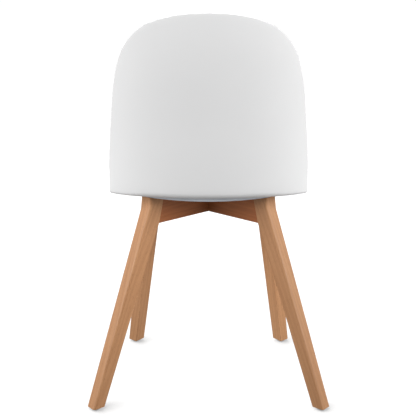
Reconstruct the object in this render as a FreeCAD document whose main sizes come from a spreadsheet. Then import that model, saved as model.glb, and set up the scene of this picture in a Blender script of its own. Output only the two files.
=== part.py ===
"""Dining chair: a one-piece moulded shell on a crossed wooden leg frame.

Units are millimetres, +Z is up and the floor is z = 0.  The back of the chair
faces -Y and the front of the seat faces +Y.  Every driving size is a named cell
of the sheet "Sizes".  The rails, the under-seat pan, the glides and the fasteners
are bound to it by expressions; the shell, the board, the pad and the leg sections
are curves worked out here from the same cells.
"""
import FreeCAD, Part
import math
import os

import Sketcher

V = FreeCAD.Vector
UP = V(0, 0, 1)

os.makedirs("parts", exist_ok=True)
doc = FreeCAD.newDocument("dining_chair")

# ---------------------------------------------------------------- driving sizes
SIZES = {
    # crossed frame
    "frame_shift": 10.0,       # frame centre, forward of the chair centre
    "rail_angle": 49.5,        # rail direction, degrees away from straight ahead
    "rail_low": 383.0,         # underside of the rails
    "rail_top": 442.0,         # top of the rails and legs
    "rail_thick": 31.0,
    "rail_end_lean": 14.0,     # rail end runs in by this much from bottom to top
    "rail_slit": 0.1,          # clearance of the half-lap
    "leg_foot_z": 5.0,         # underside of the wood, above the glide
    "leg_knee_z": 421.0,       # outer face is upright above this height
    "leg_foot_long": 27.0,
    "leg_foot_wide": 28.0,
    "leg_knee_long": 38.3,
    "leg_knee_wide": 33.0,
    "rear_foot_reach": 315.1,
    "rear_knee_reach": 154.0,
    "front_foot_reach": 234.5,
    "front_knee_reach": 166.9,
    "leg_round": 6.0,          # radius on the two outer edges
    "leg_ease": 1.2,           # radius on the two inner edges
    # glides
    "glide_dia": 22.0,
    "glide_foot_dia": 18.0,
    "glide_taper": 2.5,        # height of the tapered lower part
    "glide_nail_low_z": 1.0,
    "glide_nail_dia": 2.8,
    "glide_nail_long": 16.0,
    # dowels of the leg to rail joints
    "dowel_dia": 8.0,
    "dowel_long": 32.0,
    "dowel_low_z": 400.0,
    "dowel_high_z": 424.0,
    "dowel_gap": 0.1,
    "dowel_end_gap": 0.5,
    # screws holding the shell to the rails
    "bolt_reach": 96.0,
    "bolt_dia": 6.0,
    "bolt_head_dia": 10.0,
    "bolt_head_high": 6.0,
    "bolt_tip_z": 463.0,
    "bolt_hole_dia": 6.6,
    "bore_dia": 16.0,
    "bore_top_z": 410.0,
    "washer_dia": 14.0,
    "washer_thick": 1.2,
    "washer_gap": 0.2,
    "insert_dia": 9.0,
    "insert_low_z": 452.0,
    "insert_sink": 0.2,        # inserts and screw tips stop this far short
    # screw holding the crossing together
    "cross_head_dia": 9.0,
    "cross_head_high": 4.0,
    "cross_dia": 4.5,
    "cross_long": 46.0,
    # moulded shell
    "shell_low": 451.0,
    "shell_rim_z": 483.0,
    "shell_wall": 7.0,
    "back_outer_set": 0.8,     # the back is let into the seat's wall by this much
    "back_inner_set": 6.2,
    "shell_rim_round": 2.3,    # both sides of the back's edge
    "shell_edge_round": 11.0,
    "shell_corner_round": 12.0,
    "shell_back_y": -171.8,    # outer face of the back at the seat, on the centre line
    "shell_back_lean": 68.0,   # how far the top lies behind the seat line
    "shell_lean_top_z": 833.0, # height at which that lean is reached
    "boss_dia": 17.0,
    "boss_top_z": 466.0,
    "wrap_square": 1.07e-3,    # plan curve of the back: y = a x^2 + b x^4
    "wrap_fourth": 9.7e-09,
    # under-seat pan
    "pan_low": 442.0,
    "pan_half_width": 130.0,
    "pan_back_y": -144.0,
    "pan_corner_y": -108.0,
    "pan_front_y": 152.0,
    "pan_edge_round": 2.0,
    # seat pad
    "board_low": 467.0,
    "board_thick": 6.0,
    "board_inset": 14.0,
    "pad_inset": 10.5,
    "pad_top": 501.0,
    "pad_corner_round": 18.0,
    "pad_round_top": 9.0,
    "pad_round_low": 3.0,
    "tack_reach": 138.0,
    "tack_dia": 3.5,
    "tack_head_dia": 7.5,
    "tack_head_high": 2.5,
    "tack_tip_z": 471.5,
}

sheet = doc.addObject("Spreadsheet::Sheet", "Sizes")
for row, (alias, number) in enumerate(SIZES.items(), start=1):
    sheet.set("A%d" % row, alias)
    sheet.set("B%d" % row, repr(number))
    sheet.setAlias("B%d" % row, alias)
doc.recompute()


def size(alias):
    """Read one driving size from the sheet, in millimetres."""
    return float(sheet.get(alias))


def bind(obj, **formulas):
    """Bind object properties to formulas; sheet names are written as S.name."""
    for prop, formula in formulas.items():
        obj.setExpression(prop, formula.replace("S.", "Sizes."))
    return obj


# ---------------------------------------------------------------- shell curves
# Half outline of the back seen square on, as (half width, height).
BACK_OUTLINE = [
    (204.8, 466.0), (204.8, 483.0), (204.2, 528.0), (197.1, 608.0), (186.4, 693.0),
    (168.3, 756.0), (135.6, 797.4), (97.4, 817.7), (50.0, 828.8), (0.0, 832.0),
]
# Half outline of the seat in plan, from the rear corner round to the middle front.
SEAT_OUTLINE = [
    (204.6, -110.0), (206.4, -60.0), (207.0, 5.0), (203.5, 75.0), (191.0, 140.0),
    (160.0, 194.0), (108.0, 226.0), (50.0, 238.0), (0.0, 240.0),
]
SECTION_HEIGHTS = (466.0, 483.0, 508.0, 558.0, 618.0, 678.0, 738.0, 798.0, 843.0)
SECTION_HALF_WIDTH = 225.0
SECTION_POINTS = 15
ARCH_CUT_FROM_Y = -400.0
ARCH_CUT_DEPTH = 500.0
HOLE_OVERRUN = 5.0


def wrap(x):
    """Forward sweep of the back at distance x from the centre line."""
    return size("wrap_square") * x ** 2 + size("wrap_fourth") * x ** 4


def wrap_slope(x):
    """Slope of the plan curve of the back."""
    return 2 * size("wrap_square") * x + 4 * size("wrap_fourth") * x ** 3


def back_line(z):
    """Y of the outer face on the centre line: upright at the seat, then leaning."""
    rise = (z - size("shell_rim_z")) / (size("shell_lean_top_z") - size("shell_rim_z"))
    rise = max(rise, 0.0)
    return size("shell_back_y") - size("shell_back_lean") * (1.85 * rise ** 2 - 0.85 * rise ** 3)


def plan_point(x, z, depth):
    """Point of the back at x and z, set in from the outer face by depth."""
    slope = wrap_slope(x)
    length = math.hypot(1.0, slope)
    return V(x - depth * slope / length, back_line(z) + wrap(x) + depth / length, z)


def spline(points):
    """Smooth curve through the points."""
    curve = Part.BSplineCurve()
    curve.interpolate(points)
    return curve


def back_curve(z, depth, half_width=SECTION_HALF_WIDTH):
    """Plan curve of the back at height z."""
    step = 2.0 * half_width / (SECTION_POINTS - 1)
    return spline([plan_point(-half_width + step * i, z, depth) for i in range(SECTION_POINTS)])


def mirrored(half):
    """Full left-to-right list of points from a right-hand half ending at x = 0."""
    return [(-x, y) for x, y in half] + [(x, y) for x, y in reversed(half[:-1])]


def inset_loop(depth):
    """Plan outline of the seat as (back points, front points), inset by depth."""
    corner_x = SEAT_OUTLINE[0][0]
    count = 11
    back = []
    for i in range(count):
        x = -corner_x + 2.0 * corner_x * i / (count - 1)
        back.append(plan_point(x, size("shell_rim_z"), depth))
    curve = spline([V(x, y, 0) for x, y in mirrored(SEAT_OUTLINE)])
    front = []
    for i in range(41):
        u = curve.FirstParameter + (curve.LastParameter - curve.FirstParameter) * i / 40.0
        tangent = curve.tangent(u)[0]
        inward = V(tangent.y, -tangent.x, 0)
        front.append(curve.value(u) + inward * depth)
    return back, front


def cross_point(back, front):
    """Where the inset back curve meets the inset side, on the right-hand side."""
    best = None
    for i in range(len(back) - 1):
        for j in range(len(front) - 1):
            a, b, c, d = back[i], back[i + 1], front[j], front[j + 1]
            det = (b.x - a.x) * (d.y - c.y) - (b.y - a.y) * (d.x - c.x)
            if abs(det) < 1e-9:
                continue
            s = ((c.x - a.x) * (d.y - c.y) - (c.y - a.y) * (d.x - c.x)) / det
            t = ((c.x - a.x) * (b.y - a.y) - (c.y - a.y) * (b.x - a.x)) / det
            if -1e-6 <= s <= 1 + 1e-6 and -1e-6 <= t <= 1 + 1e-6:
                spot = V(a.x + s * (b.x - a.x), a.y + s * (b.y - a.y), 0)
                if spot.x > 0:
                    best = spot
    return best


def seat_face(depth, z):
    """Flat face with the seat's plan outline inset by depth, at height z."""
    back, front = inset_loop(depth)
    if depth == 0:
        corner = V(front[-1].x, front[-1].y, 0)
    else:
        tail = front[-1] + (front[-1] - front[-2]).normalize() * 30.0
        corner = cross_point(back, front + [tail])
    back_mid = [V(p.x, p.y, z) for p in back if abs(p.x) < corner.x - 12.0]
    front_mid = [V(p.x, p.y, z) for p in front if p.y > corner.y + 8.0]
    left = V(-corner.x, corner.y, z)
    right = V(corner.x, corner.y, z)
    rear_edge = spline([left] + back_mid + [right]).toShape()
    front_edge = spline([left] + front_mid + [right]).toShape()
    return Part.Face(Part.Wire([rear_edge, front_edge]))


def edges_where(shape, test):
    """Edges of a shape whose centre and direction pass a test."""
    return [edge for edge in shape.Edges if test(edge)]


def is_level(edge, z):
    """True when the edge lies in the plane of height z."""
    return abs(edge.BoundBox.ZMin - z) < 1e-4 and abs(edge.BoundBox.ZMax - z) < 1e-4


def is_upright(edge):
    """True when the edge is a straight vertical line."""
    flat = max(edge.BoundBox.XLength, edge.BoundBox.YLength)
    return flat < 1e-4 and edge.BoundBox.ZLength > 1.0


def add_feature(label, shape):
    """Put a finished shape in the document under its node name."""
    feature = doc.addObject("Part::Feature", label)
    feature.Shape = shape
    feature.Label = label
    feature.Placement = FreeCAD.Placement()
    return feature


# ---------------------------------------------------------------- moulded shell
def back_wall():
    """Curved, leaning back cut to its rounded-top outline."""
    sections = []
    for z in SECTION_HEIGHTS:
        outer = back_curve(z, size("back_outer_set"))
        inner = back_curve(z, size("back_inner_set"))
        first = Part.LineSegment(outer.StartPoint, inner.StartPoint).toShape()
        last = Part.LineSegment(outer.EndPoint, inner.EndPoint).toShape()
        sections.append(Part.Wire([outer.toShape(), last, inner.toShape(), first]))
    slab = Part.makeLoft(sections, True, False)
    arch = spline([V(x, ARCH_CUT_FROM_Y, z) for x, z in mirrored(BACK_OUTLINE)])
    base = Part.LineSegment(arch.EndPoint, arch.StartPoint)
    cutter = Part.Face(Part.Wire([arch.toShape(), base.toShape()])).extrude(V(0, ARCH_CUT_DEPTH, 0))
    wall = slab.common(cutter)
    rim = edges_where(wall, lambda e: e.Length > 300.0 and e.BoundBox.ZMax > 700.0)
    return wall.Solids[0].makeFillet(size("shell_rim_round"), rim)


def seat_tub():
    """Shallow seat pan with rounded corners, open at the top."""
    low = size("shell_low")
    rim = size("shell_rim_z")
    outer = seat_face(0.0, low).extrude(UP * (rim - low))
    outer = outer.makeFillet(size("shell_corner_round"), edges_where(outer, is_upright))
    outer = outer.makeFillet(size("shell_edge_round"), edges_where(outer, lambda e: is_level(e, low)))
    hollow = seat_face(size("shell_wall"), low + size("shell_wall")).extrude(UP * rim)
    return outer.cut(hollow).Solids[0]


def frame_spots(reach):
    """The four points at a given reach along the two rails, on the floor."""
    angle = math.radians(size("rail_angle"))
    spots = []
    for side in (-1, 1):
        for end in (-1, 1):
            spots.append(V(side * reach * math.sin(angle),
                           end * reach * math.cos(angle) + size("frame_shift"), 0))
    return spots


def shell_shape():
    """Seat pan and back in one moulding, with four screw bosses."""
    pieces = [back_wall()]
    floor = size("shell_low") + size("shell_wall")
    for spot in frame_spots(size("bolt_reach")):
        pieces.append(Part.makeCylinder(size("boss_dia") / 2, size("boss_top_z") - floor + 1.0,
                                        spot + UP * (floor - 1.0)))
    body = seat_tub().fuse(pieces)
    gap = size("dowel_gap")
    through = size("boss_top_z") - size("shell_low") + 2 * HOLE_OVERRUN
    start = UP * (size("shell_low") - HOLE_OVERRUN)
    for spot in frame_spots(size("bolt_reach")):
        body = body.cut(Part.makeCylinder(size("insert_dia") / 2 + gap, through,
                                          spot + UP * size("insert_low_z")))
        body = body.cut(Part.makeCylinder(size("bolt_hole_dia") / 2, through, spot + start))
    for spot in frame_spots(size("tack_reach")):
        body = body.cut(Part.makeCylinder(size("tack_dia") / 2 + gap, through, spot + start))
    return body.removeSplitter()


# ---------------------------------------------------------------- seat pad
def board_shape():
    """Plywood board under the pad, with pilot holes for its screws."""
    board = seat_face(size("board_inset"), size("board_low")).extrude(UP * size("board_thick"))
    for spot in frame_spots(size("tack_reach")):
        board = board.cut(Part.makeCylinder(size("tack_dia") / 2 + size("dowel_gap"),
                                            size("tack_tip_z") - size("board_low"),
                                            spot + UP * size("board_low")))
    return board


def pad_shape():
    """Upholstered pad as one closed soft block."""
    low = size("board_low") + size("board_thick")
    top = size("pad_top")
    pad = seat_face(size("pad_inset"), low).extrude(UP * (top - low))
    pad = pad.makeFillet(size("pad_corner_round"), edges_where(pad, is_upright))
    pad = pad.makeFillet(size("pad_round_top"), edges_where(pad, lambda e: is_level(e, top)))
    return pad.makeFillet(size("pad_round_low"), edges_where(pad, lambda e: is_level(e, low)))


# ---------------------------------------------------------------- crossed frame
CORNERS = {
    "rear_left": (-1, -1, "rear"),
    "rear_right": (1, -1, "rear"),
    "front_left": (-1, 1, "front"),
    "front_right": (1, 1, "front"),
}


def corner_angle(corner):
    """Turn about +Z that points local +X at a corner of the frame."""
    side, end, _ = CORNERS[corner]
    angle = math.radians(size("rail_angle"))
    return math.degrees(math.atan2(end * math.cos(angle), side * math.sin(angle)))


def corner_placement(corner):
    """Placement of a part drawn along local +X from the frame centre."""
    return FreeCAD.Placement(V(0, size("frame_shift"), 0),
                             FreeCAD.Rotation(UP, corner_angle(corner)))


def leg_section(name, z, inner, outer, wide):
    """Horizontal section of a leg: a rectangle with well rounded outer corners."""
    sketch = doc.addObject("Sketcher::SketchObject", name)
    sketch.Placement = FreeCAD.Placement(V(0, 0, z), FreeCAD.Rotation())
    half = wide / 2.0
    big = size("leg_round")
    small = size("leg_ease")
    corners = [(inner + small, half - small, small, 90), (inner + small, small - half, small, 180),
               (outer - big, big - half, big, 270), (outer - big, half - big, big, 0)]
    arcs = []
    for x, y, radius, start in corners:
        circle = Part.Circle(V(x, y, 0), UP, radius)
        arcs.append(Part.ArcOfCircle(circle, math.radians(start), math.radians(start + 90)))
    for i, arc in enumerate(arcs):
        follow = arcs[(i + 1) % len(arcs)]
        sketch.addGeometry(arc, False)
        sketch.addGeometry(Part.LineSegment(arc.EndPoint, follow.StartPoint), False)
    return sketch


def rail_profile_points(end_a, end_b):
    """Corners of a rail seen from the side; ends are the legs it joins."""
    low = size("rail_low")
    top = size("rail_top")
    lean = size("rail_end_lean")
    reach_a = leg_inner_reach(end_a)
    reach_b = leg_inner_reach(end_b)
    return [(-reach_a, low), (reach_b, low), (reach_b - lean * rail_share(end_b), top),
            (-reach_a + lean * rail_share(end_a), top)]


def rail_share(kind):
    """The front legs lean less, so their joint leans less too."""
    return 1.0 if kind == "rear" else 0.55


def leg_inner_reach(kind):
    """Reach of a leg's inner face at the underside of the rail."""
    foot = size(kind + "_foot_reach") - size("leg_foot_long") / 2
    knee = size(kind + "_knee_reach") - size("leg_knee_long") / 2
    share = (size("rail_low") - size("leg_foot_z")) / (size("leg_knee_z") - size("leg_foot_z"))
    return foot + (knee - foot) * share


def sketch_polygon(sketch, points):
    """Closed polygon in a sketch."""
    ends = points[1:] + points[:1]
    lines = [Part.LineSegment(V(a[0], a[1], 0), V(b[0], b[1], 0)) for a, b in zip(points, ends)]
    sketch.addGeometry(lines, False)
    for i in range(len(lines)):
        follow = (i + 1) % len(lines)
        sketch.addConstraint(Sketcher.Constraint("Coincident", i, 2, follow, 1))


def origin_plane(body, role):
    """Origin plane of a body by its role name."""
    for feature in body.Origin.OriginFeatures:
        if feature.Role == role:
            return feature
    raise ValueError(role)


def new_sketch(body, name, role, offset=0.0):
    """Sketch on an origin plane of a body, lifted along the plane's normal."""
    sketch = body.newObject("Sketcher::SketchObject", name)
    sketch.AttachmentSupport = [(origin_plane(body, role), "")]
    sketch.MapMode = "FlatFace"
    sketch.AttachmentOffset = FreeCAD.Placement(V(0, 0, offset), FreeCAD.Rotation())
    return sketch


def build_rail(label, corner_a, corner_b, lap_on_top):
    """One rail of the cross, half-lapped in the middle and bored for its screws."""
    kind_a = CORNERS[corner_a][2]
    kind_b = CORNERS[corner_b][2]
    body = doc.addObject("PartDesign::Body", label)
    body.Label = label
    side_view = new_sketch(body, label + "_profile", "XZ_Plane")
    sketch_polygon(side_view, rail_profile_points(kind_a, kind_b))
    pad = body.newObject("PartDesign::Pad", label + "_pad")
    pad.Profile = side_view
    bind(pad, Length="S.rail_thick")
    pad.Midplane = True
    doc.recompute()

    middle = (size("rail_low") + size("rail_top")) / 2
    skew = math.radians(180.0 - 2.0 * size("rail_angle"))
    half = size("rail_thick") / 2 + size("rail_slit")
    slant = 40.0
    run = math.cos(skew) * slant
    rise = math.sin(skew) * slant
    edge = half / math.sin(skew)
    turn = -1.0 if lap_on_top else 1.0
    lap = new_sketch(body, label + "_lap", "XY_Plane", middle)
    sketch_polygon(lap, [(-edge - turn * run, -rise), (edge - turn * run, -rise),
                         (edge + turn * run, rise), (-edge + turn * run, rise)])
    notch = body.newObject("PartDesign::Pocket", label + "_notch")
    notch.Profile = lap
    notch.Type = 1
    notch.Reversed = lap_on_top
    doc.recompute()

    def bores(name, radius, offset, reversed_cut, spots):
        sketch = new_sketch(body, label + name, "XY_Plane", offset)
        for x in spots:
            sketch.addGeometry(Part.Circle(V(x, 0, 0), UP, radius), False)
        hole = body.newObject("PartDesign::Pocket", label + name + "_cut")
        hole.Profile = sketch
        hole.Type = 1
        hole.Reversed = reversed_cut
        doc.recompute()

    reach = size("bolt_reach")
    bores("_screw_holes", size("bolt_hole_dia") / 2, size("rail_low"), True, (-reach, reach))
    bores("_head_bores", size("bore_dia") / 2, size("bore_top_z"), False, (-reach, reach))
    cross_radius = size("cross_dia") / 2 + size("dowel_gap")
    if lap_on_top:
        bores("_cross_hole", cross_radius, size("rail_low"), True, (0.0,))
        head = size("rail_low") + size("cross_head_high")
        bores("_cross_head", size("cross_head_dia") / 2 + 0.3, head, False, (0.0,))
    else:
        pilot = size("rail_low") + size("cross_long") + 1.0
        bores("_cross_pilot", cross_radius, pilot, False, (0.0,))
    body.Placement = corner_placement(corner_b)
    return bind(body, **{"Placement.Base.y": "S.frame_shift"})


def dowel_seats(corner, length):
    """Placements of the two dowels across one leg to rail joint, drawn along +X."""
    kind = CORNERS[corner][2]
    lying = FreeCAD.Rotation(UP, V(1, 0, 0))
    seats = []
    for z in (size("dowel_low_z"), size("dowel_high_z")):
        share = (z - size("rail_low")) / (size("rail_top") - size("rail_low"))
        joint = leg_inner_reach(kind) - share * size("rail_end_lean") * rail_share(kind)
        seats.append(FreeCAD.Placement(V(joint - length / 2, 0, z), lying))
    return seats


def dowel_holes(corner):
    """The holes for those dowels, a little wider and longer."""
    length = size("dowel_long") + 2 * size("dowel_end_gap")
    holes = []
    for seat in dowel_seats(corner, length):
        hole = Part.makeCylinder(size("dowel_dia") / 2 + size("dowel_gap"), length)
        hole.Placement = seat
        holes.append(hole)
    return holes


def leg_blank(corner):
    """Leg before it is fitted to the rail: straight taper, upright at the very top."""
    kind = CORNERS[corner][2]
    label = "leg_" + corner
    foot = size(kind + "_foot_reach")
    knee = size(kind + "_knee_reach")
    foot_half = size("leg_foot_long") / 2
    knee_half = size("leg_knee_long") / 2
    knee_z = size("leg_knee_z")
    foot_z = size("leg_foot_z")
    share = (size("rail_top") - knee_z) / (knee_z - foot_z)
    top_inner = knee - knee_half - (foot - knee) * share
    blank = doc.addObject("Part::Loft", label + "_blank")
    blank.Sections = [
        leg_section(label + "_foot", foot_z, foot - foot_half, foot + foot_half,
                    size("leg_foot_wide")),
        leg_section(label + "_knee", knee_z, knee - knee_half, knee + knee_half,
                    size("leg_knee_wide")),
        leg_section(label + "_top", size("rail_top"), top_inner, knee + knee_half,
                    size("leg_knee_wide")),
    ]
    blank.Solid = True
    blank.Ruled = True
    doc.recompute()
    return blank


def build_leg(corner):
    """One leg, cut to fit the rail end and bored for its dowels and glide nail."""
    kind = CORNERS[corner][2]
    label = "leg_" + corner
    nail = Part.makeCylinder(size("glide_nail_dia") / 2 + size("dowel_gap"),
                             size("glide_nail_long") + 1.0,
                             V(size(kind + "_foot_reach"), 0, size("leg_foot_z")))
    rail_end = rail_end_block(kind)
    tool = add_feature(label + "_tool", rail_end.fuse(dowel_holes(corner) + [nail]))
    leg = doc.addObject("Part::Cut", label)
    leg.Base = leg_blank(corner)
    leg.Tool = tool
    leg.Label = label
    leg.Placement = corner_placement(corner)
    bind(leg, **{"Placement.Base.y": "S.frame_shift"})
    doc.recompute()
    return leg


def rail_end_block(kind):
    """Block the size of the rail end, used to fit the leg to it."""
    low = size("rail_low")
    top = size("rail_top")
    reach = leg_inner_reach(kind)
    lean = size("rail_end_lean") * rail_share(kind)
    width = size("rail_thick") * 2
    points = [V(reach - 60, -width / 2, low), V(reach, -width / 2, low),
              V(reach - lean, -width / 2, top), V(reach - 60, -width / 2, top)]
    profile = Part.makePolygon(points + points[:1])
    return Part.Face(profile).extrude(V(0, width, 0))


def bore_rail_for_dowels(label, rail, corner_a, corner_b):
    """Final rail node: the rail body with dowel holes in both ends."""
    holes = []
    for corner in (corner_a, corner_b):
        for hole in dowel_holes(corner):
            hole.Placement = corner_placement(corner).multiply(hole.Placement)
            holes.append(hole)
    tool = add_feature(label + "_dowel_holes", Part.makeCompound(holes))
    node = doc.addObject("Part::Cut", label)
    node.Base = rail
    node.Tool = tool
    node.Label = label
    return node


# ---------------------------------------------------------------- hardware
def arm_point(corner, reach):
    """Formulas for the x and y at a reach along one arm of the cross."""
    side, end, _ = CORNERS[corner]
    return ("%d * %s * sin(S.rail_angle)" % (side, reach),
            "%d * %s * cos(S.rail_angle) + S.frame_shift" % (end, reach))


def foot_point(corner):
    """Formulas for the point on the floor under one leg."""
    return arm_point(corner, "S.%s_foot_reach" % CORNERS[corner][2])


def place(obj, spot, low):
    """Bind an upright part to a spot and to the height of its lower end."""
    return bind(obj, **{"Placement.Base.x": spot[0], "Placement.Base.y": spot[1], "Placement.Base.z": low})


def cylinder(label, spot, radius, low, high):
    """Upright cylinder; every size is a formula of the sheet."""
    solid = doc.addObject("Part::Cylinder", label)
    bind(solid, Radius=radius, Height="(%s) - (%s)" % (high, low))
    return place(solid, spot, low)


def joined(label, parts):
    """One solid out of parts that touch."""
    node = doc.addObject("Part::MultiFuse", label)
    node.Shapes = parts
    node.Refine = True
    return node


def cut_away(label, base, tool):
    """The base with the tool taken away."""
    node = doc.addObject("Part::Cut", label)
    node.Base = base
    node.Tool = tool
    return node


def group(label, parts):
    """Identical parts under one node name."""
    node = doc.addObject("Part::Compound", label)
    node.Links = parts
    return node


def screw(label, spot, head_radius, shank_radius, heights):
    """Screw driven upwards; heights are the head's low end, its top and the tip."""
    low, shoulder, tip = heights
    head = cylinder(label + "_head", spot, head_radius, low, shoulder)
    shank = cylinder(label + "_shank", spot, shank_radius, shoulder, tip)
    return joined(label, [head, shank])


def build_glide(corner):
    """Tapered nylon glide under one leg, with the hole for its nail."""
    label = "glide_" + corner
    spot = foot_point(corner)
    cone = doc.addObject("Part::Cone", label + "_taper")
    bind(cone, Radius1="S.glide_foot_dia / 2", Radius2="S.glide_dia / 2", Height="S.glide_taper")
    place(cone, spot, "0")
    disc = cylinder(label + "_disc", spot, "S.glide_dia / 2", "S.glide_taper", "S.leg_foot_z")
    hole = cylinder(label + "_hole", spot, "S.glide_nail_dia / 2 + S.dowel_gap",
                    "S.glide_nail_low_z", "S.leg_foot_z + 1")
    return cut_away(label, joined(label + "_body", [cone, disc]), hole)


def build_under_pan():
    """Grey pan between the rails and the shell, curved at its rear edge."""
    body = doc.addObject("PartDesign::Body", "under_pan")
    body.Label = "under_pan"
    sketch = new_sketch(body, "under_pan_outline", "XY_Plane", size("pan_low"))
    half = size("pan_half_width")
    corner = size("pan_corner_y")
    front = size("pan_front_y")
    arc = Part.Arc(V(-half, corner, 0), V(0, size("pan_back_y"), 0), V(half, corner, 0))
    sketch.addGeometry(arc, False)
    right = [(half, corner), (half, front - 60.0), (half - 55.0, front)]
    chain = right + [(-x, y) for x, y in reversed(right)]
    for a, b in zip(chain, chain[1:]):
        sketch.addGeometry(Part.LineSegment(V(a[0], a[1], 0), V(b[0], b[1], 0)), False)
    for spot in frame_spots(size("bolt_reach")):
        sketch.addGeometry(Part.Circle(spot, UP, size("bolt_hole_dia") / 2), False)
    for spot in frame_spots(size("tack_reach")):
        sketch.addGeometry(Part.Circle(spot, UP, size("tack_head_dia") / 2 + 1.0), False)
    pad = body.newObject("PartDesign::Pad", "under_pan_pad")
    pad.Profile = sketch
    bind(pad, Length="S.shell_low - S.pan_low")
    doc.recompute()
    low = size("pan_low")
    names = []
    for number, edge in enumerate(pad.Shape.Edges, start=1):
        outer = max(abs(edge.BoundBox.XMin), abs(edge.BoundBox.XMax)) > half - 60.0
        if is_level(edge, low) and edge.Length > 40.0 and outer:
            names.append("Edge%d" % number)
    soften = body.newObject("PartDesign::Fillet", "under_pan_soften")
    soften.Base = (pad, names)
    bind(soften, Radius="S.pan_edge_round")
    doc.recompute()
    return body


def build_seat_screws():
    """The four screws that hold the shell to the rails, with washers and inserts."""
    screws = []
    washers = []
    inserts = []
    under_washer = "S.bore_top_z - S.washer_thick"
    for corner in CORNERS:
        spot = arm_point(corner, "S.bolt_reach")
        screws.append(screw("seat_screw_" + corner, spot, "S.bolt_head_dia / 2", "S.bolt_dia / 2",
                            (under_washer + " - S.bolt_head_high", under_washer, "S.bolt_tip_z")))
        disc = cylinder("washer_disc_" + corner, spot, "S.washer_dia / 2", under_washer, "S.bore_top_z")
        eye = cylinder("washer_eye_" + corner, spot, "S.bolt_dia / 2 + S.washer_gap",
                       under_washer + " - 1", "S.bore_top_z + 1")
        washers.append(cut_away("washer_" + corner, disc, eye))
        barrel = cylinder("insert_barrel_" + corner, spot, "S.insert_dia / 2",
                          "S.insert_low_z", "S.boss_top_z - S.insert_sink")
        thread = cylinder("insert_thread_" + corner, spot, "S.bolt_dia / 2 + S.dowel_gap",
                          "S.insert_low_z - 1", "S.boss_top_z + 1")
        inserts.append(cut_away("insert_" + corner, barrel, thread))
    return [group("seat_screws", screws), group("seat_washers", washers),
            group("shell_inserts", inserts)]


def build_small_fasteners():
    """Board screws, the screw of the crossing and the nails of the glides."""
    tacks = []
    nails = []
    for corner in CORNERS:
        tacks.append(screw("board_screw_" + corner, arm_point(corner, "S.tack_reach"),
                           "S.tack_head_dia / 2", "S.tack_dia / 2",
                           ("S.shell_low - S.tack_head_high", "S.shell_low",
                            "S.tack_tip_z - S.insert_sink")))
        nails.append(cylinder("glide_nail_" + corner, foot_point(corner), "S.glide_nail_dia / 2",
                              "S.glide_nail_low_z", "S.leg_foot_z + S.glide_nail_long"))
    middle = ("0", "S.frame_shift")
    crossing = screw("cross_screw", middle, "S.cross_head_dia / 2", "S.cross_dia / 2",
                     ("S.rail_low", "S.rail_low + S.cross_head_high", "S.rail_low + S.cross_long"))
    return [group("board_screws", tacks), crossing, group("glide_nails", nails)]


def build_dowels():
    """Two dowels across every leg to rail joint."""
    dowels = []
    for corner in CORNERS:
        for number, seat in enumerate(dowel_seats(corner, size("dowel_long")), start=1):
            dowel = doc.addObject("Part::Cylinder", "dowel_%s_%d" % (corner, number))
            dowel.Placement = corner_placement(corner).multiply(seat)
            bind(dowel, Radius="S.dowel_dia / 2", Height="S.dowel_long")
            dowels.append(dowel)
    return group("leg_dowels", dowels)


# ---------------------------------------------------------------- assembly
def build_chair():
    """Build every node and return them in order."""
    nodes = [add_feature("shell", shell_shape()), build_under_pan(),
             add_feature("seat_board", board_shape()), add_feature("seat_pad", pad_shape())]
    rails = {}
    for label, corner_a, corner_b, lap_on_top in (
            ("rail_left_to_right", "rear_left", "front_right", True),
            ("rail_right_to_left", "rear_right", "front_left", False)):
        blank = build_rail(label + "_body", corner_a, corner_b, lap_on_top)
        rails[label] = bore_rail_for_dowels(label, blank, corner_a, corner_b)
        nodes.append(rails[label])
    for corner in CORNERS:
        nodes.append(build_leg(corner))
        nodes.append(build_glide(corner))
    return nodes + build_seat_screws() + build_small_fasteners() + [build_dowels()]


def export(nodes):
    """Check every object and write one STEP file per node."""
    doc.recompute()
    for obj in doc.Objects:
        if "Invalid" in obj.State or "Error" in obj.State:
            raise RuntimeError("%s is %s" % (obj.Name, obj.State))
    for node in nodes:
        shape = node.Shape
        if shape.isNull() or not shape.isValid():
            raise RuntimeError("%s has a bad shape" % node.Label)
        shape.exportStep("parts/%s.step" % node.Label)
        box = shape.BoundBox
        print("%-22s solids %d  volume %9.0f  z %.1f to %.1f  x %.1f to %.1f  y %.1f to %.1f" % (
            node.Label, len(shape.Solids), shape.Volume, box.ZMin, box.ZMax, box.XMin, box.XMax,
            box.YMin, box.YMax))


export(build_chair())
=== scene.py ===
"""Dining chair: moulded shell and seat pad on a crossed beech frame."""
import logging
import math
from dataclasses import dataclass
from enum import Enum

import bmesh
import bpy
from mathutils import Matrix, Vector


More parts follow.
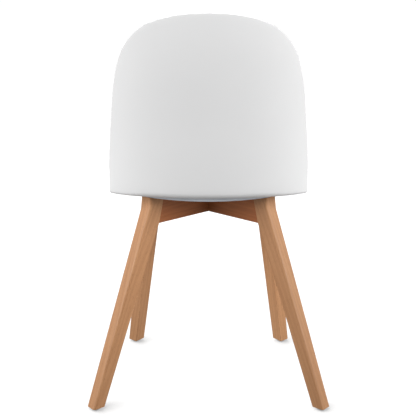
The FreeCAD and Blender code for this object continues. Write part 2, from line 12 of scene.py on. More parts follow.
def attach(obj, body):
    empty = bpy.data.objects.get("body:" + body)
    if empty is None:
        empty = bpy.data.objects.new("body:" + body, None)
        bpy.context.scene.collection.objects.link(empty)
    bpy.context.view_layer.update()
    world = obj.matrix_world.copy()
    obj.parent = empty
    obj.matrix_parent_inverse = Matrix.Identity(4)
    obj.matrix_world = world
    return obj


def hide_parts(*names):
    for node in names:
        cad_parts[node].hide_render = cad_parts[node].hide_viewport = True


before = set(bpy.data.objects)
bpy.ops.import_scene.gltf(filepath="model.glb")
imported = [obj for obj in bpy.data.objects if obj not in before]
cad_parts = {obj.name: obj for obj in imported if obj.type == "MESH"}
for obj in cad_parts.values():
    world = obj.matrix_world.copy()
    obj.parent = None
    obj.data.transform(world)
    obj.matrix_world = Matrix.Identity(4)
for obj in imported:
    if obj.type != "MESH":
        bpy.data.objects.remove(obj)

LOG = logging.getLogger("chair")
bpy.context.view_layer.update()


# ------------------------------------------------------------------ shader maths
class Tree:
    """Node tree of one material or world, with the few helpers they need."""

    def __init__(self, name: str, family: str = "materials") -> None:
        """Start an empty material or world.

        Args:
            name: Its name.
            family: "materials" or "worlds".
        """
        self.owner = getattr(bpy.data, family).new(name)
        self.owner.use_nodes = True
        self.nodes = self.owner.node_tree.nodes
        self.links = self.owner.node_tree.links
        self.nodes.clear()

    def node(self, kind: str, settings: dict | None = None,
             inputs: dict | None = None) -> bpy.types.Node:
        """Add one node.

        Args:
            kind: Type name of the node.
            settings: Properties of the node; "stops" fills a colour ramp.
            inputs: Values or wrapped sockets, by input name or number.

        Returns:
            The new node.
        """
        made = self.nodes.new(kind)
        for key, value in (settings or {}).items():
            if key == "stops":
                ramp = made.color_ramp
                while len(ramp.elements) < len(value):
                    ramp.elements.new(0.5)
                for element, (position, colour) in zip(ramp.elements, value):
                    element.position = position
                    element.color = colour
            else:
                setattr(made, key, value)
        for key, value in (inputs or {}).items():
            if isinstance(value, Wire):
                self.links.new(value.socket, made.inputs[key])
            else:
                made.inputs[key].default_value = value
        return made

    def out(self, made: bpy.types.Node, name: str | int = 0) -> "Wire":
        """Wrap one output of a node."""
        return Wire(self, made.outputs[name])

    def math(self, operation: str, *values: "Wire | float") -> "Wire":
        """Add a Math node on one to three values."""
        made = self.node("ShaderNodeMath", {"operation": operation}, dict(enumerate(values)))
        return self.out(made)

    def mix(self, factor: "Wire | float", first: "Wire | tuple", second: "Wire | tuple") -> "Wire":
        """Mix two colours.

        Args:
            factor: Share of the second colour.
            first: First colour.
            second: Second colour.

        Returns:
            The mixed colour.
        """
        made = self.node("ShaderNodeMix", {"data_type": "RGBA"}, {0: factor, 6: first, 7: second})
        return self.out(made, 2)

    def noise(self, vector: "Wire", scale: float, detail: float, roughness: float) -> "Wire":
        """Noise value between 0 and 1 at a vector."""
        made = self.node("ShaderNodeTexNoise", {},
                         {"Vector": vector, "Scale": scale, "Detail": detail, "Roughness": roughness})
        return self.out(made, 0)

    def object_point(self) -> "Wire":
        """Object coordinates."""
        return self.out(self.node("ShaderNodeTexCoord"), "Object")

    def placed(self, vector: "Wire", location: tuple, rotation: tuple) -> "Wire":
        """Coordinates in a frame set at a location and rotation."""
        made = self.node("ShaderNodeMapping", {"vector_type": "TEXTURE"},
                         {"Vector": vector, "Location": location, "Rotation": rotation})
        return self.out(made)

    def stretched(self, vector: "Wire", factors: tuple) -> "Wire":
        """Coordinates multiplied along each axis."""
        made = self.node("ShaderNodeVectorMath", {"operation": "MULTIPLY"}, {0: vector, 1: factors})
        return self.out(made)

    def bump(self, height: "Wire", strength: float, distance: float) -> "Wire":
        """Normal bent by a height."""
        made = self.node("ShaderNodeBump", {},
                         {"Height": height, "Strength": strength, "Distance": distance})
        return self.out(made)

    def finish(self, colour: "Wire | tuple", roughness: "Wire | float", normal: "Wire | None" = None,
               **constants: float) -> bpy.types.Material:
        """Close the material with a Principled shader.

        Args:
            colour: Base colour.
            roughness: Roughness.
            normal: Bent normal, if any.
            **constants: Other sockets, underscores for spaces.

        Returns:
            The material.
        """
        inputs = {"Base Color": colour, "Roughness": roughness}
        if normal is not None:
            inputs["Normal"] = normal
        for key, value in constants.items():
            inputs[key.replace("_", " ")] = value
        shader = self.node("ShaderNodeBsdfPrincipled", {}, inputs)
        self.node("ShaderNodeOutputMaterial", {}, {"Surface": self.out(shader)})
        return self.owner


class Wire:
    """An output socket that can be used in Python expressions."""

    def __init__(self, tree: Tree, socket: bpy.types.NodeSocket) -> None:
        """Wrap a socket of a tree."""
        self.tree = tree
        self.socket = socket

    def __add__(self, other: "Wire | float") -> "Wire":
        """Sum."""
        return self.tree.math("ADD", self, other)

    def __radd__(self, other: float) -> "Wire":
        """Reflected sum."""
        return self.tree.math("ADD", other, self)

    def __sub__(self, other: "Wire | float") -> "Wire":
        """Difference."""
        return self.tree.math("SUBTRACT", self, other)

    def __rsub__(self, other: float) -> "Wire":
        """Reflected difference."""
        return self.tree.math("SUBTRACT", other, self)

    def __mul__(self, other: "Wire | float") -> "Wire":
        """Product."""
        return self.tree.math("MULTIPLY", self, other)

    def clamp(self) -> "Wire":
        """Value held between 0 and 1."""
        return self.tree.math("MINIMUM", self.tree.math("MAXIMUM", self, 0.0), 1.0)


def grey(level: float) -> tuple:
    """Neutral colour of one level."""
    return (level, level, level, 1.0)


def toned(colour: tuple, tone: float) -> tuple:
    """Colour made lighter or darker."""
    return tuple(tone * share for share in colour[:3]) + (1.0,)


# ------------------------------------------------------------------ finishes
@dataclass(frozen=True)
class Beech:
    """Oiled beech with its grain along local Z of a placed frame."""

    name: str
    location: tuple
    rotation: tuple
    light: tuple = (0.600, 0.318, 0.156, 1.0)
    dark: tuple = (0.385, 0.172, 0.070, 1.0)
    fleck: tuple = (0.240, 0.094, 0.035, 1.0)
    seed: float = 0.0

    def make(self) -> bpy.types.Material:
        """Build the material."""
        tree = Tree(self.name)
        point = tree.placed(tree.object_point(), self.location, self.rotation)
        shifted = tree.out(tree.node("ShaderNodeVectorMath", {"operation": "ADD"},
                                     {0: point, 1: (self.seed, self.seed * 0.7, self.seed * 1.3)}))
        broad = tree.noise(tree.stretched(shifted, (26.0, 26.0, 2.4)), 1.0, 3.0, 0.5)
        wave = tree.node("ShaderNodeTexWave", {"wave_type": "BANDS", "bands_direction": "DIAGONAL"},
                         {"Vector": tree.stretched(shifted, (1.0, 1.0, 0.05)), "Scale": 62.0,
                          "Distortion": 5.5, "Detail": 2.0, "Detail Scale": 1.4})
        bands = tree.out(wave, 1)
        fine = tree.noise(tree.stretched(shifted, (900.0, 900.0, 26.0)), 1.0, 3.0, 0.6)
        pores = tree.noise(tree.stretched(shifted, (1500.0, 1500.0, 130.0)), 1.0, 1.0, 0.5)
        tone = (broad * 0.75 + bands * 0.22 + fine * 0.30 - 0.14).clamp()
        base = tree.mix(tone, self.light, self.dark)
        specks = ((pores - 0.60) * 9.0).clamp()
        colour = tree.mix(specks * 0.42, base, self.fleck)
        rough = 0.40 + fine * 0.14
        height = fine * 0.5 - specks * 0.5
        return tree.finish(colour, rough, tree.bump(height, 0.22, 0.0004), Specular_IOR_Level=0.42)


@dataclass(frozen=True)
class ShellPlastic:
    """Satin white moulded plastic with a fine spark-eroded grain."""

    name: str = "shell_white"
    base: tuple = (0.800, 0.800, 0.800, 1.0)
    shade: tuple = (0.735, 0.737, 0.742, 1.0)

    def make(self) -> bpy.types.Material:
        """Build the material."""
        tree = Tree(self.name)
        point = tree.object_point()
        cloud = tree.noise(point, 9.0, 3.0, 0.55)
        grain = tree.noise(point, 1300.0, 2.0, 0.6)
        soft = tree.noise(point, 240.0, 2.0, 0.5)
        colour = tree.mix((cloud * 0.45 + grain * 0.25).clamp(), self.base, self.shade)
        rough = 0.43 + grain * 0.12 + cloud * 0.05
        return tree.finish(colour, rough, tree.bump(grain * 0.7 + soft * 0.3, 0.16, 0.0003),
                           Specular_IOR_Level=0.45)


@dataclass(frozen=True)
class MouldedGrey:
    """Matt cool-grey plastic of the pan under the seat, or of the glides."""

    name: str
    base: tuple
    shade: tuple
    roughness: float = 0.55

    def make(self) -> bpy.types.Material:
        """Build the material."""
        tree = Tree(self.name)
        point = tree.object_point()
        cloud = tree.noise(point, 22.0, 3.0, 0.5)
        grain = tree.noise(point, 1500.0, 2.0, 0.6)
        colour = tree.mix(cloud, self.base, self.shade)
        return tree.finish(colour, self.roughness + grain * 0.15, tree.bump(grain, 0.2, 0.0003))


@dataclass(frozen=True)
class PadCover:
    """Off-white leatherette with a pebbled grain, its grooves painted darker as shade."""

    name: str = "pad_leatherette"
    base: tuple = (0.760, 0.757, 0.745, 1.0)
    painted_groove_shade: tuple = (0.600, 0.596, 0.585, 1.0)

    def make(self) -> bpy.types.Material:
        """Build the material."""
        tree = Tree(self.name)
        point = tree.object_point()
        warp = tree.noise(point, 60.0, 2.0, 0.5)
        cells = tree.out(tree.node("ShaderNodeTexVoronoi", {"feature": "DISTANCE_TO_EDGE"},
                                   {"Vector": point, "Scale": 620.0, "Randomness": 0.95}), 0)
        pebble = (cells * 3.2).clamp()
        fine = tree.noise(point, 1700.0, 2.0, 0.6)
        # painted shade: the grooves between the pebbles are darkened, plus random tone from the warp noise
        colour = tree.mix((1.0 - pebble) * 0.55 + warp * 0.15, self.base, self.painted_groove_shade)
        rough = 0.60 - pebble * 0.14 + fine * 0.06
        return tree.finish(colour, rough, tree.bump(pebble + fine * 0.25, 0.35, 0.0005))


@dataclass(frozen=True)
class PlatedMetal:
    """Bright plated steel or brass with faint turning marks."""

    name: str
    base: tuple
    roughness: float = 0.3

    def make(self) -> bpy.types.Material:
        """Build the material."""
        tree = Tree(self.name)
        point = tree.object_point()
        lines = tree.noise(tree.stretched(point, (300.0, 300.0, 4000.0)), 1.0, 2.0, 0.6)
        colour = tree.mix(lines * 0.3, self.base, tuple(0.75 * c for c in self.base[:3]) + (1.0,))
        rough = self.roughness + lines * 0.15
        return tree.finish(colour, rough, tree.bump(lines, 0.15, 0.0002), Metallic=1.0)


@dataclass(frozen=True)
class Plywood:
    """Raw birch plywood with its plies showing at the edge."""

    name: str = "plywood"
    base: tuple = (0.640, 0.480, 0.300, 1.0)
    glue: tuple = (0.300, 0.190, 0.100, 1.0)

    def make(self) -> bpy.types.Material:
        """Build the material."""
        tree = Tree(self.name)
        point = tree.object_point()
        plies = tree.out(tree.node("ShaderNodeTexWave", {"wave_type": "BANDS", "bands_direction": "Z"},
                                   {"Vector": point, "Scale": 210.0}), 1)
        fine = tree.noise(tree.stretched(point, (40.0, 700.0, 700.0)), 1.0, 3.0, 0.6)
        colour = tree.mix((plies * 0.35 + fine * 0.35).clamp(), self.base, self.glue)
        return tree.finish(colour, 0.6 + fine * 0.2, tree.bump(fine, 0.3, 0.0004))


# ------------------------------------------------------------------ shared making
def blend_step(value: float) -> float:
    """Smooth step from 0 to 1."""
    held = min(max(value, 0.0), 1.0)
    return held * held * (3.0 - 2.0 * held)


def through(stations: list[tuple[float, float]], per_span: int) -> list[Vector]:
    """Smooth line through stations.

    Args:
        stations: Points the line goes through.
        per_span: Points made between two stations.

    Returns:
        The points of the line, stations included.
    """
    ends = [Vector(stations[0]) * 2 - Vector(stations[1])]
    tail = [Vector(stations[-1]) * 2 - Vector(stations[-2])]
    knots = ends + [Vector(s) for s in stations] + tail
    line = []
    for a, b, c, d in zip(knots, knots[1:], knots[2:], knots[3:]):
        for i in range(per_span):
            t = i / per_span
            line.append(0.5 * (2 * b + (c - a) * t + (2 * a - 5 * b + 4 * c - d) * t ** 2
                               + (3 * b - a - 3 * c + d) * t ** 3))
    return line + [Vector(stations[-1])]


def even(line: list[Vector], count: int) -> list[Vector]:
    """Points spread evenly along a line, ends included.

    Args:
        line: The line's points.
        count: Number of points wanted.

    Returns:
        The new points.
    """
    lengths = [0.0]
    for a, b in zip(line, line[1:]):
        lengths.append(lengths[-1] + (b - a).length)
    spread = []
    spot = 0
    for i in range(count):
        goal = lengths[-1] * i / (count - 1)
        while spot < len(line) - 2 and lengths[spot + 1] < goal:
            spot += 1
        span = max(lengths[spot + 1] - lengths[spot], 1e-12)
        spread.append(line[spot].lerp(line[spot + 1], (goal - lengths[spot]) / span))
    return spread


def to_object(name: str, bm: bmesh.types.BMesh, material: bpy.types.Material,
              smooth: bool = True) -> bpy.types.Object:
    """Turn a bmesh into a piece that rides on the chair.

    Args:
        name: Name of the piece.
        bm: Finished mesh, freed here.
        material: Its finish.
        smooth: Whether faces are shaded smooth.

    Returns:
        The new object.
    """
    mesh = bpy.data.meshes.new(name)
    bm.to_mesh(mesh)
    bm.free()
    mesh.materials.append(material)
    for face in mesh.polygons:
        face.use_smooth = smooth
    piece = bpy.data.objects.new(name, mesh)
    bpy.context.scene.collection.objects.link(piece)
    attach(piece, "root")
    return piece


def add_modifier(piece: bpy.types.Object, kind: str, **settings: float | str | bool) -> None:
    """Add one modifier with its settings."""
    made = piece.modifiers.new(kind.title(), kind)
    for key, value in settings.items():
        setattr(made, key, value)


def dress(node: str, material: bpy.types.Material) -> None:
    """Give a carried-over node its finish."""
    piece = bpy.data.objects[node]
    piece.data.materials.clear()
    piece.data.materials.append(material)


# ------------------------------------------------------------------ shell
@dataclass
class Shell:
    """One-piece moulding: shallow seat pan, curved leaning back, rounded rim."""

    low: float = 0.451
    rim: float = 0.483
    wall: float = 0.007
    rim_round: float = 0.0034
    edge_round: float = 0.014
    side_round: float = 0.006
    side_from: float = 0.10
    side_full: float = 0.20
    back_y: float = -0.1718
    lean: float = 0.068
    lean_high: float = 0.350
    wrap_square: float = 1.07
    wrap_fourth: float = 9.7
    tuck: float = 0.009
    tuck_top: float = 0.570
    tuck_wide: float = 0.195
    swoop_high: float = 0.030
    swoop_long: float = 0.070
    back_columns: int = 120
    side_columns: int = 170
    wall_rows: int = 44
    edge_rows: int = 8
    floor_rows: int = 10

    MIDDLE = Vector((0.0, 0.03))
    BACK_STATIONS = [(0.2052, 0.483), (0.2043, 0.528), (0.1971, 0.608), (0.1864, 0.693), (0.1683, 0.756),
                     (0.1356, 0.7974), (0.0974, 0.8177), (0.050, 0.8288), (0.0, 0.832)]
    SEAT_STATIONS = [(0.2052, -0.1095), (0.2065, -0.060), (0.207, 0.005), (0.2035, 0.075), (0.191, 0.140),
                     (0.160, 0.194), (0.108, 0.226), (0.050, 0.238), (0.0, 0.240)]

    def rear(self, x: float) -> float:
        """Y of the back's outer face at seat height."""
        return self.back_y + self.wrap_square * x ** 2 + self.wrap_fourth * x ** 4

    def leaned(self, z: float) -> float:
        """How far the back lies behind its seat line at a height."""
        rise = max((z - self.rim) / self.lean_high, 0.0)
        return self.lean * (1.85 * rise ** 2 - 0.85 * rise ** 3)

    def tucked(self, x: float, y: float, z: float) -> float:
        """How far the foot of the back is drawn in under the seat at a point of its skin."""
        if y > self.rear(self.BACK_STATIONS[0][0]):
            return 0.0
        drop = max((self.tuck_top - z) / (self.tuck_top - self.low), 0.0)
        return self.tuck * drop ** 2 * max(1.0 - (x / self.tuck_wide) ** 2, 0.0)

    def edge(self, x: float) -> float:
        """Rounding of the lower edge at a distance from the centre line, tighter at the sides."""
        share = blend_step((abs(x) - self.side_from) / (self.side_full - self.side_from))
        return self.edge_round + (self.side_round - self.edge_round) * share

    def arch_height(self, line: list[Vector], x: float) -> float:
        """Height of the back's rim above a point x.

        Args:
            line: Fine half outline of the back, from the side up to the middle.
            x: Distance from the centre line.

        Returns:
            The height, never below the top of the swoop.
        """
        for a, b in zip(line, line[1:]):
            if b.x <= abs(x) <= a.x:
                share = (a.x - abs(x)) / max(a.x - b.x, 1e-9)
                return max(a.y + (b.y - a.y) * share, self.rim + self.swoop_high)
        return self.rim + self.swoop_high

    def outline(self) -> list[tuple[float, float, float]]:
        """Plan of the rim with its height: (x, y, height) right round from the rear left corner."""
        line = through(self.BACK_STATIONS, 60)
        half = self.BACK_STATIONS[0][0]
        ring = []
        count = self.back_columns // 2
        for i in range(-count, count + 1):
            t = abs(i) / count
            x = math.copysign(half * (1.35 * t - 0.35 * t ** 2), i)
            ring.append((x, self.rear(x), self.arch_height(line, x)))
        side = even(through(self.SEAT_STATIONS, 40), self.side_columns // 2 + 1)
        loop = side + [Vector((-p.x, p.y)) for p in reversed(side[:-1])]
        for spot in loop[1:-1]:
            fall = 1.0 - blend_step((spot.y - side[0].y) / self.swoop_long)
            ring.append((spot.x, spot.y, self.rim + self.swoop_high * fall))
        return ring

    def shape(self, column: tuple[float, float, float], share: float) -> Vector:
        """Point of the outer skin.

        Args:
            column: Plan point and rim height of the column.
            share: 0 at the middle of the floor, 1 at the rim.

        Returns:
            The point.
        """
        x, y, height = column
        rows = self.floor_rows + self.edge_rows + self.wall_rows
        row = share * rows
        plan = Vector((x, y)) - self.MIDDLE
        edge = self.edge(x)
        inward = 1.0 - edge / plan.length
        if row <= self.floor_rows:
            spot = self.MIDDLE + plan * inward * row / self.floor_rows
            return Vector((spot.x, spot.y + self.tucked(x, y, self.low) * row / self.floor_rows, self.low))
        if row <= self.floor_rows + self.edge_rows:
            angle = (row - self.floor_rows) / self.edge_rows * math.pi / 2
            reach = inward + (1.0 - inward) * math.sin(angle)
            spot = self.MIDDLE + plan * reach
            z = self.low + edge * (1.0 - math.cos(angle))
            return Vector((spot.x, spot.y + self.tucked(x, y, z), z))
        rise = (row - self.floor_rows - self.edge_rows) / self.wall_rows
        z = self.low + edge + (height - self.low - edge) * rise
        return Vector((x, y - self.leaned(z) + self.tucked(x, y, z), z))

    def build(self) -> bpy.types.Object:
        """Build the moulding and dress it."""
        ring = self.outline()
        rows = self.floor_rows + self.edge_rows + self.wall_rows
        bm = bmesh.new()
        bmesh.ops.create_grid(bm, x_segments=len(ring), y_segments=rows, size=1.0)
        for vert in bm.verts:
            across = round((vert.co.x + 1.0) / 2.0 * len(ring)) % len(ring)
            vert.co = self.shape(ring[across], (vert.co.y + 1.0) / 2.0)
        bmesh.ops.remove_doubles(bm, verts=bm.verts, dist=0.00002)
        bmesh.ops.recalc_face_normals(bm, faces=bm.faces)
        if min(bm.faces, key=lambda f: f.calc_center_median().z).normal.z > 0:
            bmesh.ops.reverse_faces(bm, faces=bm.faces)
        piece = to_object("chair_shell", bm, ShellPlastic().make())
        add_modifier(piece, "SOLIDIFY", thickness=self.wall, offset=-1.0)
        add_modifier(piece, "BEVEL", width=self.rim_round, segments=5, limit_method="ANGLE",
                     angle_limit=math.radians(50))
        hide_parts("shell")
        return piece


# ------------------------------------------------------------------ seat pad
@dataclass
class SeatPad:
    """Stuffed seat pad, swollen by a cloth run."""

    low: float = 0.473
    top: float = 0.501
    inset: float = 0.012
    lift: float = 0.001
    swell_room: float = 0.008
    cell: float = 0.005
    pressure: float = 4.0
    tension: float = 25.0
    bending: float = 1.5
    frames: int = 20
    most_move: float = 0.006
    crown_high: float = 0.003
    crown_reach: float = 0.19
    crown_from: float = 0.012
    smoothings: int = 3

    def build(self, shell: Shell) -> bpy.types.Object:
        """Build the pad and dress it.

        Args:
            shell: The shell it lies in.

        Returns:
            The pad.
        """
        ring = shell.outline()
        points = []
        for x, y, _ in ring[::4]:
            away = Vector((x, y)) - shell.MIDDLE
            points.append(shell.MIDDLE + away * (1.0 - (self.inset + shell.wall) / away.length))
        bm = bmesh.new()
        loop = [bm.verts.new((p.x, p.y, self.low + self.lift)) for p in points]
        base = bm.faces.new(loop)
        raised = bmesh.ops.extrude_face_region(bm, geom=[base])
        lifted = [g for g in raised["geom"] if isinstance(g, bmesh.types.BMVert)]
        bmesh.ops.translate(bm, verts=lifted, vec=(0.0, 0.0, self.top - self.low - self.swell_room))
        bmesh.ops.recalc_face_normals(bm, faces=bm.faces)
        piece = to_object("chair_seat_pad", bm, PadCover().make())
        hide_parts("seat_pad")
        self.swell(piece, shell.MIDDLE)
        return piece

    def swell(self, piece: bpy.types.Object, middle: Vector) -> None:
        """Remesh the pad and blow it up a little as cloth.

        Args:
            piece: The plain pad, changed in place.
            middle: Plan point its crown stands over.
        """
        bpy.context.view_layer.objects.active = piece
        add_modifier(piece, "REMESH", mode="VOXEL", voxel_size=self.cell, use_smooth_shade=True)
        self.freeze(piece)
        start = [v.co.copy() for v in piece.data.vertices]
        self.blow_up(piece)
        for vert, before in zip(piece.data.vertices, start):
            move = vert.co - before
            if move.length > self.most_move:
                vert.co = before + move.normalized() * self.most_move
            away = (vert.co.xy - middle) / self.crown_reach
            if before.z > self.low + self.crown_from:
                vert.co.z += self.crown_high * max(0.0, 1.0 - away.length ** 2)
            vert.co.z = min(max(vert.co.z, self.low + 0.0003), self.top + self.most_move)
        bm = bmesh.new()
        bm.from_mesh(piece.data)
        for _ in range(self.smoothings):
            bmesh.ops.smooth_vert(bm, verts=bm.verts, factor=0.5, use_axis_x=True, use_axis_y=True,
                                  use_axis_z=True)
        bm.to_mesh(piece.data)
        bm.free()
        for face in piece.data.polygons:
            face.use_smooth = True
        add_modifier(piece, "SUBSURF", levels=1, render_levels=1)

    def blow_up(self, piece: bpy.types.Object) -> None:
        """Run the pad as cloth under a little inner pressure."""
        add_modifier(piece, "CLOTH")
        settings = piece.modifiers[-1].settings
        settings.use_pressure = True
        settings.uniform_pressure_force = self.pressure
        settings.effector_weights.gravity = 0.0
        settings.tension_stiffness = self.tension
        settings.bending_stiffness = self.bending
        scene = bpy.context.scene
        for frame_number in range(1, self.frames + 1):
            scene.frame_set(frame_number)
        self.freeze(piece)
        scene.frame_set(1)

    @staticmethod
    def freeze(piece: bpy.types.Object) -> None:
        """Apply every modifier of a piece to its mesh."""
        graph = bpy.context.evaluated_depsgraph_get()
        done = bpy.data.meshes.new_from_object(piece.evaluated_get(graph))
        piece.modifiers.clear()
        piece.data = done


# ------------------------------------------------------------------ crossed frame
class Corner(Enum):
    """The four corners of the frame: side, end and whether it is a rear one."""

    REAR_LEFT = ("rear_left", -1, -1)
    REAR_RIGHT = ("rear_right", 1, -1)
    FRONT_LEFT = ("front_left", -1, 1)
    FRONT_RIGHT = ("front_right", 1, 1)

    @property
    def label(self) -> str:
        """Name used in the node names."""
        return self.value[0]

    @property
    def rear(self) -> bool:
        """Whether the corner is under the back."""
        return self.value[2] < 0


@dataclass
class CrossFrame:
    """Two half-lapped rails and four tapered legs, all of beech."""

    shift: float = 0.010
    angle: float = math.radians(49.5)
    rail_low: float = 0.383
    rail_top: float = 0.442
    foot_z: float = 0.005
    knee_z: float = 0.421
    foot_long: float = 0.027
    foot_wide: float = 0.028
    knee_long: float = 0.0383
    knee_wide: float = 0.033
    outer_round: float = 0.006
    inner_round: float = 0.0012
    arris: float = 0.0008
    rear_lean: float = 0.014
    front_lean: float = 0.0077
    arc_steps: int = 7
    rows_below_rail: int = 12

    REAR_REACH = (0.3151, 0.1540)
    FRONT_REACH = (0.2345, 0.1669)
    # lighter and darker beech per leg: partly a difference in the wood, partly painted light and shade for
    # how light falls on each leg
    LEG_WOOD_AND_SHADE_TONES = (1.06, 0.94, 1.0, 1.14)
    # rail beech painted darker and redder than the legs: painted shade under the seat
    RAIL_SHADED_LIGHT_GRAIN = (0.470, 0.160, 0.047, 1.0)
    RAIL_SHADED_DARK_GRAIN = (0.270, 0.078, 0.020, 1.0)

    def reach(self, corner: Corner) -> tuple[float, float]:
        """Reach of a leg's middle at the foot and at the knee."""
        return self.REAR_REACH if corner.rear else self.FRONT_REACH

    def turn(self, corner: Corner) -> float:
        """Turn about Z that points local X at a corner."""
        _, side, end = corner.value
        return math.atan2(end * math.cos(self.angle), side * math.sin(self.angle))

    def place(self, corner: Corner) -> Matrix:
        """Matrix of a piece drawn along local X."""
        return Matrix.Translation((0.0, self.shift, 0.0)) @ Matrix.Rotation(self.turn(corner), 4, "Z")

    def grain(self, corner: Corner) -> tuple[tuple, tuple]:
        """Location and rotation of the grain frame of a leg."""
        foot, knee = self.reach(corner)
        lean = math.atan2(foot - knee, self.knee_z - self.foot_z)
        turned = Matrix.Rotation(self.turn(corner), 4, "Z") @ Matrix.Rotation(-lean, 4, "Y")
        spot = self.place(corner) @ Vector((foot, 0.0, 0.0))
        return tuple(spot), tuple(turned.to_euler("XYZ"))

    def tapered(self, corner: Corner, z: float) -> tuple[float, float, float]:
        """Inner reach, outer reach and width of the plain tapered leg at a height."""
        foot, knee = self.reach(corner)
        rise = (z - self.foot_z) / (self.knee_z - self.foot_z)
        middle = foot + (knee - foot) * rise
        half = (self.foot_long + (self.knee_long - self.foot_long) * rise) / 2
        wide = self.foot_wide + (self.knee_wide - self.foot_wide) * min(rise, 1.0)
        outer = middle + half if rise < 1.0 else knee + self.knee_long / 2
        return middle - half, outer, wide

    def section(self, corner: Corner, z: float) -> tuple[float, float, float]:
        """Section of a leg at a height, its inner face fitted to the end of the rail."""
        inner, outer, wide = self.tapered(corner, z)
        if z > self.rail_low:
            joint = self.tapered(corner, self.rail_low)[0]
            lean = self.rear_lean if corner.rear else self.front_lean
            inner = joint - lean * (z - self.rail_low) / (self.rail_top - self.rail_low)
        return inner, outer, wide

    def ring(self, inner: float, outer: float, wide: float) -> list[Vector]:
        """Rounded rectangle with generous outer corners and eased inner ones."""
        half = wide / 2
        big, small = self.outer_round, self.inner_round
        centres = ((outer - big, half - big, big), (inner + small, half - small, small),
                   (inner + small, small - half, small), (outer - big, big - half, big))
        spots = []
        for quarter, (x, y, radius) in enumerate(centres):
            for step in range(self.arc_steps + 1):
                angle = math.pi / 2 * (quarter + step / self.arc_steps)
                spots.append(Vector((x + radius * math.cos(angle), y + radius * math.sin(angle))))
        return spots

    def heights(self) -> list[float]:
        """Heights of the rows a leg is made of."""
        span = (self.rail_low - self.foot_z) / self.rows_below_rail
        below = [self.foot_z + span * row for row in range(self.rows_below_rail)]
        return below + [self.rail_low, self.knee_z, self.rail_top]

    def leg(self, corner: Corner, seed: float, tone: float) -> bpy.types.Object:
        """Build one leg.

        Args:
            corner: Where it stands.
            seed: Offset of its grain.
            tone: How light its beech is made; partly a difference in the wood, partly painted light and
                shade for how light falls on this leg.

        Returns:
            The leg.
        """
        heights = self.heights()
        rings = [self.ring(*self.section(corner, z)) for z in heights]
        around, rows = len(rings[0]), len(heights) - 1
        bm = bmesh.new()
        bmesh.ops.create_grid(bm, x_segments=around, y_segments=rows, size=1.0)
        for vert in bm.verts:
            row = round((vert.co.y + 1.0) / 2.0 * rows)
            spot = rings[row][round((vert.co.x + 1.0) / 2.0 * around) % around]
            vert.co = (spot.x, spot.y, heights[row])
        bmesh.ops.remove_doubles(bm, verts=bm.verts, dist=0.00001)
        bmesh.ops.holes_fill(bm, edges=[edge for edge in bm.edges if edge.is_boundary], sides=0)
        bmesh.ops.transform(bm, matrix=self.place(corner), verts=bm.verts)
        bmesh.ops.recalc_face_normals(bm, faces=bm.faces)
        location, rotation = self.grain(corner)
        finish = Beech("beech_" + corner.label, location, rotation, toned(Beech.light, tone),
                       toned(Beech.dark, tone), seed=seed).make()
        piece = to_object("chair_leg_" + corner.label, bm, finish, smooth=True)
        add_modifier(piece, "BEVEL", width=self.arris, segments=2, limit_method="ANGLE",
                     angle_limit=math.radians(40))
        add_modifier(piece, "WEIGHTED_NORMAL", keep_sharp=True)
        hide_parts("leg_" + corner.label)
        return piece

    def rail_finish(self, name: str, corner: Corner, seed: float) -> bpy.types.Material:
        """Beech with its grain along a rail, darker and redder than the legs' as painted shade under the
        seat.
        """
        turned = Matrix.Rotation(self.turn(corner), 4, "Z") @ Matrix.Rotation(math.radians(90), 4, "Y")
        return Beech(name, (0.0, self.shift, 0.4), tuple(turned.to_euler("XYZ")), light=self.RAIL_SHADED_LIGHT_GRAIN,
                     dark=self.RAIL_SHADED_DARK_GRAIN, seed=seed).make()

    def build(self) -> None:
        """Build the legs and dress the rails."""
        for number, corner in enumerate(Corner):
            self.leg(corner, seed=0.37 + 1.9 * number, tone=self.LEG_WOOD_AND_SHADE_TONES[number])
            LOG.info("leg %s", corner.label)
        dress("rail_left_to_right", self.rail_finish("beech_rail_shaded_a", Corner.FRONT_RIGHT, 5.1))
        dress("rail_right_to_left", self.rail_finish("beech_rail_shaded_b", Corner.FRONT_LEFT, 7.7))


# ------------------------------------------------------------------ small parts
@dataclass
class SmallParts:
    """Glides, screws and the hidden pieces under the seat."""

    def build(self) -> None:
        """Dress every small part."""
        nylon = MouldedGrey("glide_nylon", (0.66, 0.66, 0.64, 1.0), (0.56, 0.56, 0.55, 1.0)).make()
        for corner in Corner:
            dress("glide_" + corner.label, nylon)
        pan = MouldedGrey("pan_grey", (0.66, 0.70, 0.75, 1.0), (0.58, 0.62, 0.67, 1.0)).make()
        dress("under_pan", pan)
        dress("seat_board", Plywood().make())
        steel = PlatedMetal("plated_steel", (0.62, 0.62, 0.61, 1.0)).make()
        for node in ("seat_screws", "seat_washers", "board_screws", "cross_screw", "glide_nails"):
            dress(node, steel)
        dress("shell_inserts", PlatedMetal("insert_brass", (0.72, 0.54, 0.26, 1.0)).make())
        dress("leg_dowels", Beech("dowel_beech", (0.0, 0.0, 0.4), (0.0, 0.0, 0.0)).make())


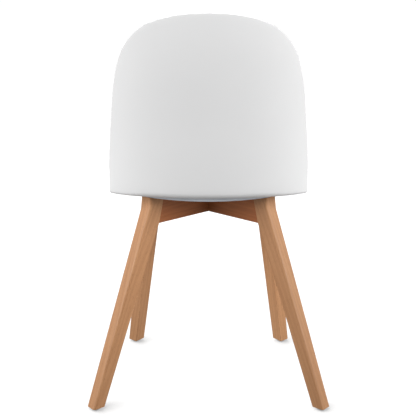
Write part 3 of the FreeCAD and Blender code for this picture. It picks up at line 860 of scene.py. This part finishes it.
# ------------------------------------------------------------------ studio
@dataclass
class Studio:
    """Glowing pale floor, soft lights and the camera."""

    focal: float = 1000.0
    distance: float = 2.124
    height: float = 1.006
    pitch: float = math.radians(16.35)
    shift: float = 0.010
    long_side: float = 417.0
    aside: float = 0.5
    contact: float = 0.07
    contact_lean: float = -0.8
    open_level: float = 0.92
    contact_gain: float = 1.8
    contact_level: float = 0.45
    near_glow: float = 0.90
    glow_from: float = 0.45
    glow_rate: float = 1.5
    floor_grey: float = 0.20
    ambient: float = 0.05
    below: float = 0.34
    horizon: float = 0.15

    def floor_finish(self) -> bpy.types.Material:
        """Glowing white, a little greyer under the chair, with shading beside each foot."""
        tree = Tree("floor_white")
        length = tree.node("ShaderNodeVectorMath", {"operation": "LENGTH"}, {0: tree.object_point()})
        share = ((tree.out(length, "Value") - self.glow_from) * self.glow_rate).clamp()
        glow = tree.mix(share, grey(self.near_glow), grey(1.0))
        # painted shadow: occlusion leaning to the left darkens the floor's glow just right of each foot
        leaning = tree.node("ShaderNodeCombineXYZ", {}, {0: self.contact_lean, 2: 1.0})
        facing = tree.node("ShaderNodeVectorMath", {"operation": "NORMALIZE"}, {0: tree.out(leaning)})
        occlusion = tree.node("ShaderNodeAmbientOcclusion", {"samples": 16},
                              {"Distance": self.contact, "Normal": tree.out(facing)})
        painted_foot_shadow = ((self.open_level - tree.out(occlusion, "AO")) * self.contact_gain).clamp()
        colour = tree.mix(painted_foot_shadow, glow, grey(self.contact_level))
        diffuse = tree.node("ShaderNodeBsdfDiffuse", {}, {"Color": grey(self.floor_grey)})
        shine = tree.node("ShaderNodeEmission", {}, {"Color": colour, "Strength": 1.0})
        both = tree.node("ShaderNodeAddShader", {}, {0: tree.out(diffuse), 1: tree.out(shine)})
        tree.node("ShaderNodeOutputMaterial", {}, {"Surface": tree.out(both)})
        return tree.owner

    def floor(self) -> None:
        """Lay a wide pale floor."""
        bm = bmesh.new()
        bmesh.ops.create_grid(bm, x_segments=2, y_segments=2, size=30.0)
        mesh = bpy.data.meshes.new("floor")
        bm.to_mesh(mesh)
        bm.free()
        mesh.materials.append(self.floor_finish())
        piece = bpy.data.objects.new("floor", mesh)
        bpy.context.scene.collection.objects.link(piece)
        piece.visible_diffuse = False
        piece.visible_glossy = False

    def lamp(self, name: str, spot: tuple, aim: tuple, size: float, power: float,
             spread: float = 180.0) -> None:
        """Hang one soft square lamp.

        Args:
            name: Name of the lamp.
            spot: Where it hangs.
            aim: Where it points.
            size: Side length.
            power: Watts.
            spread: Opening angle of its beam, in degrees.
        """
        data = bpy.data.lights.new(name, "AREA")
        data.size = size
        data.energy = power
        data.spread = math.radians(spread)
        lamp = bpy.data.objects.new(name, data)
        lamp.location = spot
        lamp.rotation_euler = (Vector(aim) - Vector(spot)).to_track_quat("-Z", "Y").to_euler()
        bpy.context.scene.collection.objects.link(lamp)

    def sky(self) -> None:
        """Weak even light from above, stronger from below; plain white where the camera sees it."""
        tree = Tree("sky", "worlds")
        way = tree.out(tree.node("ShaderNodeTexCoord"), "Generated")
        upward = tree.out(tree.node("ShaderNodeSeparateXYZ", {}, {0: way}), "Z")
        level = tree.node("ShaderNodeMapRange", {},
                          {"Value": upward, "From Min": -self.horizon, "From Max": self.horizon,
                           "To Min": self.below, "To Max": self.ambient})
        seen = tree.out(tree.node("ShaderNodeLightPath"), "Is Camera Ray")
        strength = tree.math("MAXIMUM", tree.out(level), seen)
        glow = tree.node("ShaderNodeBackground", {}, {"Color": grey(1.0), "Strength": strength})
        tree.node("ShaderNodeOutputWorld", {}, {"Surface": tree.out(glow)})
        bpy.context.scene.world = tree.owner

    def build(self) -> None:
        """Set up floor, lights, sky and camera."""
        self.floor()
        scene = bpy.context.scene
        scene.view_settings.view_transform = "Standard"
        self.sky()
        self.lamp("lamp_right", (2.4, -0.9, 1.3), (0.0, 0.0, 0.5), 1.6, 67.0)
        self.lamp("lamp_left", (-2.4, -0.9, 1.3), (0.0, 0.0, 0.5), 1.6, 66.0)
        self.lamp("lamp_front", (0.0, 1.7, 2.1), (0.0, 0.0, 0.55), 1.6, 55.0)
        self.lamp("lamp_back", (0.12, -1.20, 1.22), (0.0, -0.2, 0.70), 0.5, 1.1, 80.0)
        data = bpy.data.cameras.new("camera")
        data.lens = self.focal / self.long_side * data.sensor_width
        data.shift_x = -self.aside / self.long_side
        camera = bpy.data.objects.new("camera", data)
        camera.location = (0.0, self.shift - self.distance, self.height)
        camera.rotation_euler = (math.pi / 2 - self.pitch, 0.0, 0.0)
        scene.collection.objects.link(camera)
        scene.camera = camera


def main() -> None:
    """Build the chair piece by piece and set up the studio."""
    logging.basicConfig(level=logging.INFO, format="%(message)s")
    shell = Shell()
    shell.build()
    LOG.info("shell")
    SeatPad().build(shell)
    LOG.info("seat pad")
    CrossFrame().build()
    LOG.info("crossed frame")
    SmallParts().build()
    LOG.info("small parts")
    Studio().build()
    LOG.info("studio")


if __name__ == "__main__":
    main()
